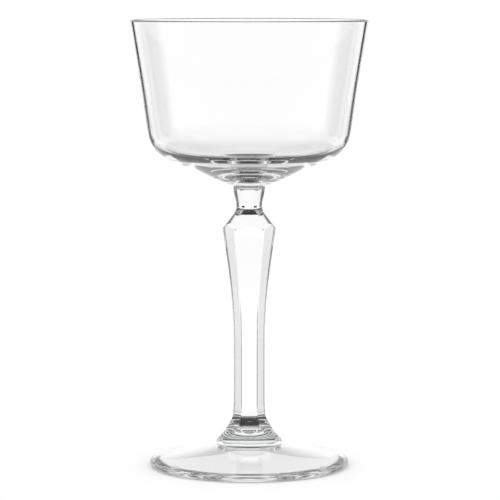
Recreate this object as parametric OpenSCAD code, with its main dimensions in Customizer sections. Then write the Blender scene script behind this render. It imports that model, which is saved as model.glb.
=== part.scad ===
// Small stemmed cocktail glass: a thin blown bowl with a flared wall, a pressed
// stem with six flats and a waisted neck, and a pressed foot that is hollow underneath.
// The three pieces are welded end to end while hot, so they meet on flat faces.
// All sizes are in millimetres. The glass stands on z = 0, on its own axis.

/* [Bowl] */
// Height of the bowl from its weld on the neck to the lip
bowl_h = 59.5; // [50:0.5:75]
// Outside diameter across the lip
lip_d = 84; // [76:1:96]
// How far the lip turns out past the line of the wall
lip_flare = 0.4; // [0.2:0.05:0.4]
// Height of the part of the wall that turns out
lip_h = 2; // [2:0.5:4]
// Thickness of the fire-polished lip
lip_t = 1.1; // [0.8:0.1:1.6]
// How far the wall bows inwards between the corner and the lip
wall_bow = 0.25; // [0.15:0.05:0.6]
// Thickness of the wall just above the corner
wall_low_t = 1.2; // [0.9:0.1:2]
// Outside diameter at which the wall and the underside would meet
corner_d = 69.8; // [62:0.2:74]
// Height of that corner above the weld
corner_h = 13.2; // [11:0.1:16]
// Outside radius of the corner
corner_r = 12.5; // [8:0.5:15]
// Inside radius of the corner
inner_r = 10; // [6:0.5:12]
// Thickness of the glass under the floor, at the corner
under_t = 1.5; // [1.2:0.1:2.6]
// Depth of glass between the middle of the floor and the weld
floor_t = 6.1; // [5:0.1:8]
// Diameter of the level middle of the floor, before it is rounded to a dish
floor_d = 26; // [18:0.5:28]
// How much of that level middle the rounding takes up
dish_share = 0.93; // [0.6:0.01:0.98]
// Height of the short boss above the weld
boss_h = 0.8; // [0.4:0.1:1.4]
// Radius of the fillet between the boss and the underside
boss_r = 0.5; // [0.3:0.1:2]

/* [Stem] */
// Height of the stem from the foot to the bowl
stem_h = 91.3; // [75:0.1:110]
// Diameter of the weld between the bowl and the neck
weld_d = 11.3; // [9:0.1:13]
// Diameter at which the two tapers of the neck would meet
neck_d = 8.4; // [7:0.1:9]
// Distance from the bowl down to the neck
neck_drop = 7.3; // [6:0.1:9]
// Radius of the waist of the neck
neck_r = 4.8; // [3:0.1:6]
// Diameter at the shoulder
shoulder_d = 18.8; // [16:0.2:22]
// Distance from the bowl down to the shoulder
shoulder_drop = 13.95; // [12.5:0.05:18]
// Radius of the edge of the shoulder
shoulder_r = 0.7; // [0.3:0.1:1.2]
// Diameter of the slender part of the stem, over its edges
shaft_d = 11.04; // [9:0.02:13]
// Distance from the bowl down to where the long taper would end
taper_drop = 41.3; // [35:0.1:48]
// Radius that blends the long taper into the slender part
taper_r = 200; // [100:5:240]
// Height above the foot at which the slender part would meet the flare
flare_h = 7.4; // [7:0.1:9]
// Radius of the flare at the bottom of the stem
flare_r = 17; // [10:0.5:18]
// Diameter of the collar that stands on the foot
collar_d = 23.2; // [22.4:0.2:28]
// Height of the edge of the collar
collar_h = 1.7; // [1.2:0.1:2.1]
// Radius of the edge of the collar
collar_r = 0.3; // [0.2:0.1:0.6]

/* [Flats] */
// Number of flats round the stem
flats = 6; // [5:1:8]
// Distance of a flat from the axis, as a share of the round stem's radius
flat_share = 0.89; // [0.88:0.005:0.93]
// Height above the foot at which the flats turn out into the flare
runout_h = 7.6; // [6.8:0.1:9]
// Radius with which the flats turn out
runout_r = 8; // [6:0.5:12]
// Height above the collar at which the flats would leave the flare
runout_gap = 0.6; // [0.4:0.05:2]

/* [Foot] */
// Diameter of the foot
foot_d = 70.8; // [64:0.2:80]
// Height of the foot under the stem
foot_h = 7.5; // [7:0.1:9]
// Thickness of the foot at its rim
rim_t = 2.1; // [2:0.1:3]
// Radius of the upper edge of the rim
rim_top_r = 1; // [0.5:0.1:1.1]
// Radius of the lower edge of the rim
rim_low_r = 0.9; // [0.4:0.1:1]
// Width of the ring that the foot rests on, before its inner edge is rounded
rest_w = 3.5; // [2.5:0.5:6]
// Radius between that ring and the hollow
rest_r = 8; // [2:1:10]
// Height of the hollow under the foot
hollow_h = 5.2; // [4.4:0.1:5.6]
// Diameter of the level middle of the hollow, before it is rounded
hollow_d = 12; // [10:0.5:16]
// Radius that blends the level middle into the slope of the hollow
hollow_r = 40; // [20:1:42]

/* [Hidden] */
glass = [0.88, 0.9, 0.9];
round_fn = 180;
// Largest turn between two points of a rounded corner, in degrees
arc_step = 4;
// How far a cut runs past what it cuts
overrun = 1;
half_share = 0.5;
// How much of the lip's half thickness its rounding takes up
lip_round_share = 0.98;

foot_top = foot_h;
collar_top = foot_top + collar_h;
stem_top = foot_top + stem_h;
lip_top = stem_top + bowl_h;
weld_edge = weld_d / 2;
collar_edge = collar_d / 2;
shoulder_edge = shoulder_d / 2;
shaft_edge = shaft_d / 2;
foot_edge = foot_d / 2;
lip_edge = lip_d / 2;
corner_edge = corner_d / 2;
corner_z = stem_top + corner_h;

// Direction from one point to another
function way(a, b) = (b - a) / norm(b - a);

// Points of the arc that rounds the corner b of the line a, b, c
function rounded(a, b, c, r) =
    let (
        back = way(b, a),
        on = way(b, c),
        half = acos(back * on) / 2,
        reach = r / tan(half),
        centre = b + way([0, 0], back + on) * r / sin(half),
        from = b + back * reach - centre,
        to = b + on * reach - centre,
        first = atan2(from.y, from.x),
        turn = (atan2(to.y, to.x) - first + 540) % 360 - 180,
        steps = ceil(abs(turn) / arc_step)
    )
    [for (i = [0:steps]) centre + r * [cos(first + turn * i / steps), sin(first + turn * i / steps)]];

// Outline through corners, each a point with the radius that rounds it
function outline(corners) =
    let (at = [for (c = corners) [c[0], c[1]]], last = len(corners) - 1)
    [
        for (i = [0:last])
            each (corners[i][2] == 0 ? [at[i]] : rounded(at[i - 1], at[i], at[i + 1], corners[i][2]))
    ];

// Point halfway between two points
function middle(a, b) = (a + b) * half_share;

// Radius of the arc that bows a straight run of given length by a given depth
function bow_radius(length, depth) = (length * length / 4 + depth * depth) / (2 * depth);

// Blown bowl, with its floor, wall and fire-polished lip
module bowl() {
    lip_low = lip_top - lip_h;
    wall_top = [lip_edge - lip_flare, lip_low];
    wall_foot = [corner_edge, corner_z];
    wall_run = norm(wall_top - wall_foot);
    bow_out = bow_radius(wall_run, wall_bow) / 2;
    wall_mid = middle(wall_top, wall_foot) - [wall_bow, 0];
    inner_top = wall_top - [lip_t, 0];
    inner_foot = [corner_edge - wall_low_t, corner_z + under_t];
    inner_mid = wall_mid - [(lip_t + wall_low_t) * half_share, 0];
    floor_at = [floor_d / 2, stem_top + floor_t];
    floor_slope = atan2(inner_foot.y - floor_at.y, inner_foot.x - floor_at.x);
    dish_r = floor_at.x * dish_share / tan(floor_slope / 2);
    under_slope = atan2(corner_h - boss_h, corner_edge - weld_edge);
    lip_round = lip_t * half_share * lip_round_share;
    color(glass)
    rotate_extrude($fn = round_fn)
    polygon(outline([
        [0, stem_top, 0],
        [weld_edge, stem_top, 0],
        [weld_edge, stem_top + boss_h, min(boss_r, boss_h / tan(45 - under_slope / 2))],
        [corner_edge, corner_z, corner_r],
        [wall_mid.x, wall_mid.y, bow_out],
        [wall_top.x, wall_top.y, lip_h],
        [lip_edge, lip_top, lip_round],
        [lip_edge - lip_t, lip_top, lip_round],
        [inner_top.x, inner_top.y, lip_h],
        [inner_mid.x, inner_mid.y, bow_out],
        [inner_foot.x, inner_foot.y, inner_r],
        [floor_at.x, floor_at.y, dish_r],
        [0, floor_at.y, 0]
    ]));
}

// Round blank of the stem, before its flats
module stem_blank() {
    rotate_extrude($fn = round_fn)
    polygon(outline([
        [0, stem_top, 0],
        [weld_edge, stem_top, 0],
        [neck_d / 2, stem_top - neck_drop, neck_r],
        [shoulder_edge, stem_top - shoulder_drop, shoulder_r],
        [shaft_edge, stem_top - taper_drop, taper_r],
        [shaft_edge, foot_top + flare_h, flare_r],
        [collar_edge, collar_top, collar_r],
        [collar_edge, foot_top, 0],
        [0, foot_top, 0]
    ]));
}

// Everything outside one flat, as a long bar with the flat's side view
module outside_flat() {
    reach = max(collar_edge, shoulder_edge) + overrun;
    runout_z = collar_top + runout_gap;
    rotate([90, 0, 0])
    linear_extrude(height = 2 * reach, center = true)
    polygon(outline([
        [shoulder_edge * flat_share, stem_top - shoulder_drop, 0],
        [shaft_edge * flat_share, stem_top - taper_drop, taper_r],
        [shaft_edge * flat_share, foot_top + runout_h, runout_r],
        [reach, runout_z, 0],
        [reach, stem_top, 0],
        [shoulder_edge * flat_share, stem_top, 0]
    ]));
}

// Pressed stem: round neck and collar, with flats between the shoulder and the flare
module stem() {
    color(glass)
    difference() {
        stem_blank();
        for (i = [0:flats - 1]) {
            rotate([0, 0, i * 360 / flats - 90])
            outside_flat();
        }
    }
}

// Pressed foot: a low cone with a rounded rim and a hollow, resting on a flat ring
module foot() {
    rest_edge = foot_edge - rim_low_r - rest_w;
    color(glass)
    rotate_extrude($fn = round_fn)
    polygon(outline([
        [0, foot_top, 0],
        [collar_edge, foot_top, 0],
        [foot_edge, rim_t, rim_top_r],
        [foot_edge, 0, rim_low_r],
        [rest_edge, 0, rest_r],
        [hollow_d / 2, hollow_h, hollow_r],
        [0, hollow_h, 0]
    ]));
}

bowl();
stem();
foot();
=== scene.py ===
import math

import bpy
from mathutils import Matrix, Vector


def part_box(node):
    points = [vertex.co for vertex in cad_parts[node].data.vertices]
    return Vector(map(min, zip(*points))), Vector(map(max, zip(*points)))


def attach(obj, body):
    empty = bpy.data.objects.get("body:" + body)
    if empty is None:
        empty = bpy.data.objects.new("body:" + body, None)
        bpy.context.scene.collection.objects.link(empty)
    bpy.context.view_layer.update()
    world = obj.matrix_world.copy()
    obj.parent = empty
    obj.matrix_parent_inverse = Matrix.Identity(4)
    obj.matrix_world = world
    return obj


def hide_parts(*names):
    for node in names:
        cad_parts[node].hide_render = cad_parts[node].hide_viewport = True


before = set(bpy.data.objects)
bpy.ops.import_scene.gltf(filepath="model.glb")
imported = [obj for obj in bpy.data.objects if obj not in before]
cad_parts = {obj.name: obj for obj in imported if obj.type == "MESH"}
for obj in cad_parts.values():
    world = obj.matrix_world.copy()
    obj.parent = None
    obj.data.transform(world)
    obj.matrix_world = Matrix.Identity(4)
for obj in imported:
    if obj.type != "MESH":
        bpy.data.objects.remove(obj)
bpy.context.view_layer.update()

# Foot
# The foot is a plate of soda-lime glass, pressed in a mould and fire-polished.
# It is a low cone with a rounded rim, hollow underneath, and it rests on a narrow ring.
# The stem is welded to the middle of its top. Sizes of the glass are in millimetres.

MM = 0.001
# Fineness of the turned meshes
ARC_STEP = math.radians(1.5)
ROUND_STEPS = 216
ON_AXIS = 1e-6


def unit(x, y):
    """Direction of a flat vector, with length one."""
    length = math.hypot(x, y)
    return x / length, y / length


def rounded(a, b, c, radius):
    """Points of the arc that rounds corner b of the line a, b, c."""
    back = unit(a[0] - b[0], a[1] - b[1])
    on = unit(c[0] - b[0], c[1] - b[1])
    half = math.acos(back[0] * on[0] + back[1] * on[1]) / 2
    reach = radius / math.tan(half)
    mid = unit(back[0] + on[0], back[1] + on[1])
    centre = [b[i] + mid[i] * radius / math.sin(half) for i in (0, 1)]
    start = [b[i] + back[i] * reach - centre[i] for i in (0, 1)]
    stop = [b[i] + on[i] * reach - centre[i] for i in (0, 1)]
    first = math.atan2(start[1], start[0])
    turn = math.remainder(math.atan2(stop[1], stop[0]) - first, math.tau)
    steps = max(2, math.ceil(abs(turn) / ARC_STEP))
    angles = [first + turn * i / steps for i in range(steps + 1)]
    return [(centre[0] + radius * math.cos(t), centre[1] + radius * math.sin(t)) for t in angles]


def outline(corners, longest):
    """Outline through (radius, height, rounding) corners, with no step over the longest given."""
    points = []
    for i, (r, z, rounding) in enumerate(corners):
        if rounding:
            points += rounded(corners[i - 1], corners[i], corners[i + 1], rounding)
        else:
            points.append((r, z))
    filled = [points[0]]
    for (r0, z0), (r1, z1) in zip(points, points[1:]):
        steps = max(1, math.ceil(math.hypot(r1 - r0, z1 - z0) / longest))
        for k in range(1, steps + 1):
            filled.append((r0 + (r1 - r0) * k / steps, z0 + (z1 - z0) * k / steps))
    return filled


def turned(name, line, radius_at, welds, materials):
    """Closed skin round the Z axis, through a line of (radius, height) points that runs from the
    bottom outwards and up, so that its faces look out. radius_at gives a ring's radius at each
    angle. Level faces at the heights in welds take the second material."""
    vertices = []
    rings = []
    for r, z in line:
        if r < ON_AXIS:
            rings.append([len(vertices)] * ROUND_STEPS)
            vertices.append((0, 0, z * MM))
            continue
        rings.append(list(range(len(vertices), len(vertices) + ROUND_STEPS)))
        for k in range(ROUND_STEPS):
            angle = math.tau * k / ROUND_STEPS
            reach = radius_at(r, z, angle) * MM
            vertices.append((reach * math.cos(angle), reach * math.sin(angle), z * MM))
    faces = []
    slots = []
    for low, high, (_, z0), (_, z1) in zip(rings, rings[1:], line, line[1:]):
        on_weld = z0 == z1 and z0 in welds
        for k in range(ROUND_STEPS):
            n = (k + 1) % ROUND_STEPS
            corners = dict.fromkeys((low[k], low[n], high[n], high[k]))
            faces.append(tuple(corners))
            slots.append(1 if on_weld else 0)
    mesh = bpy.data.meshes.new(name)
    mesh.from_pydata(vertices, [], faces)
    for material in materials:
        mesh.materials.append(material)
    mesh.polygons.foreach_set("material_index", slots)
    mesh.polygons.foreach_set("use_smooth", [s == 0 for s in slots])
    mesh.update()
    piece = bpy.data.objects.new(name, mesh)
    bpy.context.collection.objects.link(piece)
    return piece


def round_ring(r, z, angle):
    """Radius of a plain round ring, the same at every angle."""
    return r


def node(tree, kind, settings=None, links=None):
    """Adds a node, sets its fields and inputs by name, and links other nodes' outputs to its inputs."""
    added = tree.nodes.new(kind)
    for name, value in (settings or {}).items():
        if str(name) in added.bl_rna.properties:
            setattr(added, name, value)
        else:
            added.inputs[name].default_value = value
    for name, socket in (links or {}).items():
        tree.links.new(socket, added.inputs[name])
    return added


def linear(colour):
    """Linear colour of an sRGB hex code."""
    parts = [int(colour[i:i + 2], 16) / 255 for i in (1, 3, 5)]
    return [p / 12.92 if p <= 0.04045 else ((p + 0.055) / 1.055) ** 2.4 for p in parts] + [1.0]


CLEAR = "#ffffff"
SODA_LIME_IOR = 1.52
MOST_HAZE = 0.006


def glass(name, wave, wave_depth):
    """Clear soda-lime glass. A broad swell bends what is seen through it a little, as the making
    leaves it, and patches of faint haze take the edge off its gloss."""
    material = bpy.data.materials.new(name)
    material.use_nodes = True
    tree = material.node_tree
    tree.nodes.clear()
    place = node(tree, "ShaderNodeTexCoord")
    swell = node(tree, "ShaderNodeTexNoise", {"Scale": 1 / (wave * MM), "Detail": 0.0},
                 {"Vector": place.outputs["Object"]})
    bump = node(tree, "ShaderNodeBump", {"Distance": wave_depth * MM, "Strength": 1.0},
                {"Height": swell.outputs["Fac"]})
    haze = node(tree, "ShaderNodeMapRange", {"To Min": 0.0, "To Max": MOST_HAZE},
                {"Value": swell.outputs["Fac"]})
    body = node(tree, "ShaderNodeBsdfPrincipled",
                {"Base Color": linear(CLEAR), "IOR": SODA_LIME_IOR, "Transmission Weight": 1.0},
                {"Roughness": haze.outputs["Result"], "Normal": bump.outputs["Normal"]})
    node(tree, "ShaderNodeOutputMaterial", None, {"Surface": body.outputs["BSDF"]})
    return material


# Pressed glass: colourless and bright, with short shallow waves where it chilled against the mould.
PRESSED_WAVE = 9
PRESSED_WAVE_DEPTH = 0.01
pressed_glass = glass("pressed_soda_lime_glass", PRESSED_WAVE, PRESSED_WAVE_DEPTH)

# Welded glass: no surface is left inside the weld, so light goes straight through, with hardly a cloud.
WELD_CLOUD = 2
weld = bpy.data.materials.new("welded_glass_joint")
weld.use_nodes = True
tree = weld.node_tree
tree.nodes.clear()
cloud = node(tree, "ShaderNodeTexNoise", {"Scale": 1 / (WELD_CLOUD * MM)})
tint = node(tree, "ShaderNodeMix", {"data_type": "RGBA", "A": linear("#fcfdfd"), "B": linear(CLEAR)},
            {"Factor": cloud.outputs["Fac"]})
through = node(tree, "ShaderNodeBsdfTransparent", None, {"Color": tint.outputs["Result"]})
node(tree, "ShaderNodeOutputMaterial", None, {"Surface": through.outputs["BSDF"]})

FOOT_STEP = 0.8
COLLAR_EDGE = 11.6
RIM_T = 2.1
RIM_TOP_R = 1
RIM_LOW_R = 0.9
REST_W = 3.5
REST_R = 8
HOLLOW_H = 5.2
HOLLOW_EDGE = 6
HOLLOW_R = 40
foot_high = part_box("foot")[1]
foot_edge = foot_high.x / MM
foot_top = round(foot_high.z / MM, 4)
rest_edge = foot_edge - RIM_LOW_R - REST_W
foot_line = outline([
    (0, HOLLOW_H, 0),
    (HOLLOW_EDGE, HOLLOW_H, HOLLOW_R),
    (rest_edge, 0, REST_R),
    (foot_edge, 0, RIM_LOW_R),
    (foot_edge, RIM_T, RIM_TOP_R),
    (COLLAR_EDGE, foot_top, 0),
    (0, foot_top, 0),
], FOOT_STEP)
foot = turned("foot", foot_line, round_ring, [foot_top], [pressed_glass, weld])
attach(foot, "root")
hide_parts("foot")

# Stem
# The stem is pressed glass: a round waisted neck, a shoulder, six long flats and a flare.
# Its flats run up the shoulder in arches and fade out in the flare above the collar.
# It is welded to the foot at the collar and to the bowl at the top of the neck.

STEM_STEP = 0.4
WELD_EDGE = 5.65
NECK_EDGE = 4.2
NECK_DROP = 7.3
NECK_R = 4.8
SHOULDER_EDGE = 9.4
SHOULDER_DROP = 13.95
SHOULDER_R = 0.7
SHAFT_EDGE = 5.52
TAPER_DROP = 41.3
TAPER_R = 200
FLARE_H = 7.4
FLARE_R = 17
COLLAR_H = 1.7
COLLAR_R = 0.3
FLATS = 6
FLAT_SHARE = 0.89
EDGE_SHARPNESS = 120
RUNOUT_H = 7.6
RUNOUT_R = 8
RUNOUT_GAP = 0.6
OVERRUN = 1
stem_top = round(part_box("stem")[1].z / MM, 4)
shoulder_z = stem_top - SHOULDER_DROP
taper_z = stem_top - TAPER_DROP
collar_top = foot_top + COLLAR_H
stem_line = outline([
    (0, foot_top, 0),
    (COLLAR_EDGE, foot_top, 0),
    (COLLAR_EDGE, collar_top, COLLAR_R),
    (SHAFT_EDGE, foot_top + FLARE_H, FLARE_R),
    (SHAFT_EDGE, taper_z, TAPER_R),
    (SHOULDER_EDGE, shoulder_z, SHOULDER_R),
    (NECK_EDGE, stem_top - NECK_DROP, NECK_R),
    (WELD_EDGE, stem_top, 0),
    (0, stem_top, 0),
], STEM_STEP)
# Side view of one flat, from the top down to past the collar
flat_line = outline([
    (SHOULDER_EDGE * FLAT_SHARE, stem_top, 0),
    (SHOULDER_EDGE * FLAT_SHARE, shoulder_z, 0),
    (SHAFT_EDGE * FLAT_SHARE, taper_z, TAPER_R),
    (SHAFT_EDGE * FLAT_SHARE, foot_top + RUNOUT_H, RUNOUT_R),
    (COLLAR_EDGE + OVERRUN, collar_top + RUNOUT_GAP, 0),
    (COLLAR_EDGE + OVERRUN, 0, 0),
], STEM_STEP)


def flat_reach(z):
    """Distance of the flats from the axis at a height."""
    for (r0, z0), (r1, z1) in zip(flat_line, flat_line[1:]):
        if z1 <= z <= z0 and z0 > z1:
            return r0 + (r1 - r0) * (z0 - z) / (z0 - z1)
    return flat_line[0][0]


reach_at = {z: flat_reach(z) for _, z in stem_line}


def cut_ring(r, z, angle):
    """Radius of a round ring with the flats cut into it, their edges softened by the fire.
    The higher the sharpness, the less of each edge is rounded off."""
    pitch = math.tau / FLATS
    off = math.remainder(angle + math.pi / 2, pitch)
    sides = [math.cos(off + pitch * k) / reach_at[z] for k in (-1, 0, 1)]
    total = (1 / r) ** EDGE_SHARPNESS + sum(s ** EDGE_SHARPNESS for s in sides)
    return total ** (-1 / EDGE_SHARPNESS)


stem = turned("stem", stem_line, cut_ring, [stem_top, foot_top], [pressed_glass, weld])
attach(stem, "root")
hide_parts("stem")

# Bowl
# The bowl is blown soda-lime glass: a thin flared wall, a fire-polished lip and a dished floor.
# It is thick only above the short boss that is welded to the neck.

# Blown glass: colourless and thin, with long waves from the blowing, seen as a slow bend.
BLOWN_WAVE = 25
BLOWN_WAVE_DEPTH = 0.02
blown_glass = glass("blown_soda_lime_glass", BLOWN_WAVE, BLOWN_WAVE_DEPTH)

BOWL_STEP = 0.8
LIP_EDGE = 42
LIP_FLARE = 0.4
LIP_H = 2
LIP_T = 1.1
LIP_ROUND_SHARE = 0.49
WALL_BOW = 0.25
WALL_LOW_T = 1.2
CORNER_EDGE = 34.9
CORNER_H = 13.2
CORNER_R = 12.5
INNER_R = 10
UNDER_T = 1.5
FLOOR_EDGE = 13
FLOOR_T = 6.1
DISH_SHARE = 0.93
BOSS_H = 0.8
BOSS_R = 0.5
lip_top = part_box("bowl")[1].z / MM
lip_r = LIP_T * LIP_ROUND_SHARE
corner = (CORNER_EDGE, stem_top + CORNER_H)
wall_top = (LIP_EDGE - LIP_FLARE, lip_top - LIP_H)
wall_mid = ((corner[0] + wall_top[0]) / 2 - WALL_BOW, (corner[1] + wall_top[1]) / 2)
wall_run = math.dist(corner, wall_top)
bow_r = (wall_run ** 2 / 4 + WALL_BOW ** 2) / (2 * WALL_BOW) / 2
inner_corner = (CORNER_EDGE - WALL_LOW_T, corner[1] + UNDER_T)
floor_z = stem_top + FLOOR_T
floor_slope = math.atan2(inner_corner[1] - floor_z, inner_corner[0] - FLOOR_EDGE)
dish_r = FLOOR_EDGE * DISH_SHARE / math.tan(floor_slope / 2)
bowl_line = outline([
    (0, stem_top, 0),
    (WELD_EDGE, stem_top, 0),
    (WELD_EDGE, stem_top + BOSS_H, BOSS_R),
    (*corner, CORNER_R),
    (*wall_mid, bow_r),
    (*wall_top, LIP_H),
    (LIP_EDGE, lip_top, lip_r),
    (LIP_EDGE - LIP_T, lip_top, lip_r),
    (wall_top[0] - LIP_T, wall_top[1], LIP_H),
    (wall_mid[0] - (LIP_T + WALL_LOW_T) / 2, wall_mid[1], bow_r),
    (*inner_corner, INNER_R),
    (FLOOR_EDGE, floor_z, dish_r),
    (0, floor_z, 0),
], BOWL_STEP)
bowl = turned("bowl", bowl_line, round_ring, [stem_top], [blown_glass, weld])
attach(bowl, "root")
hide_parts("bowl")

# Table
# A round white table top, which gives the pale ground and keeps the glass's shadow.
# It is hidden from light that has passed through the glass, which sees the room instead.

TABLE_R = 500
TABLE_STEPS = 96
TABLE_GAP = 0.2
angles = [math.tau * k / TABLE_STEPS for k in range(TABLE_STEPS)]
rim = [(TABLE_R * MM * math.cos(t), TABLE_R * MM * math.sin(t), -TABLE_GAP * MM) for t in angles]
table_mesh = bpy.data.meshes.new("table_top")
table_mesh.from_pydata(rim, [], [tuple(range(TABLE_STEPS))])
table = bpy.data.objects.new("table_top", table_mesh)
table.visible_transmission = False
bpy.context.collection.objects.link(table)

# Matt white paint: even and without gloss, with a roller's grain too faint to make out.
# Where it is seen, directly or mirrored in the glass, it is lifted to the white of the room.
PAINT_GRAIN = 3
PAINT_LIFT = 0.3
paint = bpy.data.materials.new("matt_white_paint")
paint.use_nodes = True
tree = paint.node_tree
tree.nodes.clear()
place = node(tree, "ShaderNodeTexCoord")
grain = node(tree, "ShaderNodeTexNoise", {"Scale": 1 / (PAINT_GRAIN * MM)},
             {"Vector": place.outputs["Object"]})
shade = node(tree, "ShaderNodeMix",
             {"data_type": "RGBA", "A": linear("#e6e6e6"), "B": linear("#e9e9e9")},
             {"Factor": grain.outputs["Fac"]})
matt = node(tree, "ShaderNodeBsdfDiffuse", None, {"Color": shade.outputs["Result"]})
path = node(tree, "ShaderNodeLightPath")
seen = node(tree, "ShaderNodeMath", {"operation": "MAXIMUM"},
            {0: path.outputs["Is Camera Ray"], 1: path.outputs["Is Glossy Ray"]})
lift = node(tree, "ShaderNodeMath", {"operation": "MULTIPLY", 1: PAINT_LIFT}, {0: seen.outputs[0]})
glow = node(tree, "ShaderNodeEmission", None, {"Strength": lift.outputs[0]})
both = node(tree, "ShaderNodeAddShader", None, {0: matt.outputs["BSDF"], 1: glow.outputs["Emission"]})
node(tree, "ShaderNodeOutputMaterial", None, {"Surface": both.outputs["Shader"]})
table_mesh.materials.append(paint)

# Studio
# A wide white panel stands behind the glass, with a dark gap on each side of it, and white walls
# stand at the sides and in front. The room is dark high up and low down, and two narrow dark cards
# hang before the panel. Only the glass shows the dark places, which draw its edges.

# Levels of light
WHITE = 1
FRONT = 0.9
DARK = 0.04
HIGH = 0.1
DEEP = 0.03
MIRROR_HIGH = 0.5
MIRROR_DEEP = 0.1
# Turns from straight behind the glass, in degrees: the whole range, then the soft edges in it
TURNS = (0, 180)
GAP_START = (39, 47)
GAP_END = (73.5, 78.5)
SIDE_WALLS = (78.5, 180)
CARD_NEAR = (14, 16)
CARD_FAR = (26, 28)
# Climbs from level, in the same way
CLIMBS = (-90, 90)
GROUND_TOP = (-31, -28)
MIRROR_GROUND_TOP = (-29, -21)
SKIRTING_TOP = (-20, -16)
CARD_BOTTOM = (-17, -15)
CARD_TOP = (-4, -2)
CEILING = (8, 34)

world = bpy.data.worlds.new("studio")
bpy.context.scene.world = world
world.use_nodes = True
tree = world.node_tree
tree.nodes.clear()
way = node(tree, "ShaderNodeTexCoord")
axes = node(tree, "ShaderNodeSeparateXYZ", None, {"Vector": way.outputs["Generated"]})
across = node(tree, "ShaderNodeMath", {"operation": "ABSOLUTE"}, {0: axes.outputs["X"]})
turn = node(tree, "ShaderNodeMath", {"operation": "ARCTAN2"},
            {0: across.outputs[0], 1: axes.outputs["Y"]})
climb = node(tree, "ShaderNodeMath", {"operation": "ARCSINE"}, {0: axes.outputs["Z"]})
levels = {}
for name, angle, (first, last), level, edges in (
    ("walls", turn, TURNS, WHITE, [(GAP_START, DARK), (GAP_END, WHITE), (SIDE_WALLS, FRONT)]),
    ("skirting", climb, CLIMBS, WHITE, [(SKIRTING_TOP, 0)]),
    ("storey", climb, CLIMBS, DEEP, [(GROUND_TOP, WHITE), (CEILING, HIGH)]),
    ("mirrored", climb, CLIMBS, MIRROR_DEEP, [(MIRROR_GROUND_TOP, WHITE), (CEILING, MIRROR_HIGH)]),
    ("card_width", turn, TURNS, 0, [(CARD_NEAR, 1), (CARD_FAR, 0)]),
    ("card_height", climb, CLIMBS, 0, [(CARD_BOTTOM, 1), (CARD_TOP, 0)]),
):
    share = node(tree, "ShaderNodeMapRange",
                 {"From Min": math.radians(first), "From Max": math.radians(last)},
                 {"Value": angle.outputs[0]})
    ramp = node(tree, "ShaderNodeValToRGB", None, {"Fac": share.outputs["Result"]})
    marks = ramp.color_ramp.elements
    marks.remove(marks[1])
    marks[0].color = (level, level, level, 1)
    for (start, end), next_level in edges:
        for degrees, value in ((start, level), (end, next_level)):
            marks.new((degrees - first) / (last - first)).color = (value, value, value, 1)
        level = next_level
    levels[name] = ramp.outputs["Color"]
card = node(tree, "ShaderNodeMath", {"operation": "MULTIPLY"},
            {0: levels["card_width"], 1: levels["card_height"]})
past_card = node(tree, "ShaderNodeMath", {"operation": "SUBTRACT", 0: 1.0}, {1: card.outputs[0]})
around = node(tree, "ShaderNodeMath", {"operation": "MAXIMUM"},
              {0: levels["walls"], 1: levels["skirting"]})
room = node(tree, "ShaderNodeMath", {"operation": "MULTIPLY"},
            {0: around.outputs[0], 1: levels["storey"]})
seen_through = node(tree, "ShaderNodeMath", {"operation": "MULTIPLY"},
                    {0: room.outputs[0], 1: past_card.outputs[0]})
mirrored = node(tree, "ShaderNodeMath", {"operation": "MULTIPLY"},
                {0: levels["mirrored"], 1: past_card.outputs[0]})
# The glass shows the room through it and a paler one mirrored. Seen directly the room is plain white.
path = node(tree, "ShaderNodeLightPath")
in_glass = node(tree, "ShaderNodeMix", None,
                {"Factor": path.outputs["Is Transmission Ray"], "A": mirrored.outputs[0],
                 "B": seen_through.outputs[0]})
plain = node(tree, "ShaderNodeMath", {"operation": "MAXIMUM"},
             {0: path.outputs["Is Camera Ray"], 1: path.outputs["Is Diffuse Ray"]})
strength = node(tree, "ShaderNodeMath", {"operation": "MAXIMUM"},
                {0: plain.outputs[0], 1: in_glass.outputs["Result"]})
sky = node(tree, "ShaderNodeBackground", {"Color": linear("#ffffff")}, {"Strength": strength.outputs[0]})
node(tree, "ShaderNodeOutputWorld", None, {"Surface": sky.outputs["Background"]})

# Camera
# It stands about a metre off, a little above the lip, and looks slightly down.
# Light crosses many surfaces inside the stem and the foot, so it may bounce often.

CAMERA_ASIDE = 0.27
CAMERA_AWAY = 950
CAMERA_H = 172.2
LOOK_DOWN = 5.727
SENSOR_W = 36
LENS = 193.9
NEAREST = 10
MOST_BOUNCES = 48
MOST_REFLECTIONS = 24
MOST_WELDS = 32
view = bpy.data.cameras.new("camera")
view.sensor_width = SENSOR_W
view.lens = LENS
view.clip_start = NEAREST * MM
camera = bpy.data.objects.new("camera", view)
camera.location = (CAMERA_ASIDE * MM, -CAMERA_AWAY * MM, CAMERA_H * MM)
camera.rotation_euler = (math.radians(90 - LOOK_DOWN), 0, 0)
bpy.context.collection.objects.link(camera)
scene = bpy.context.scene
scene.camera = camera
scene.view_settings.view_transform = "Standard"
scene.cycles.max_bounces = MOST_BOUNCES
scene.cycles.transmission_bounces = MOST_BOUNCES
scene.cycles.glossy_bounces = MOST_REFLECTIONS
scene.cycles.transparent_max_bounces = MOST_WELDS
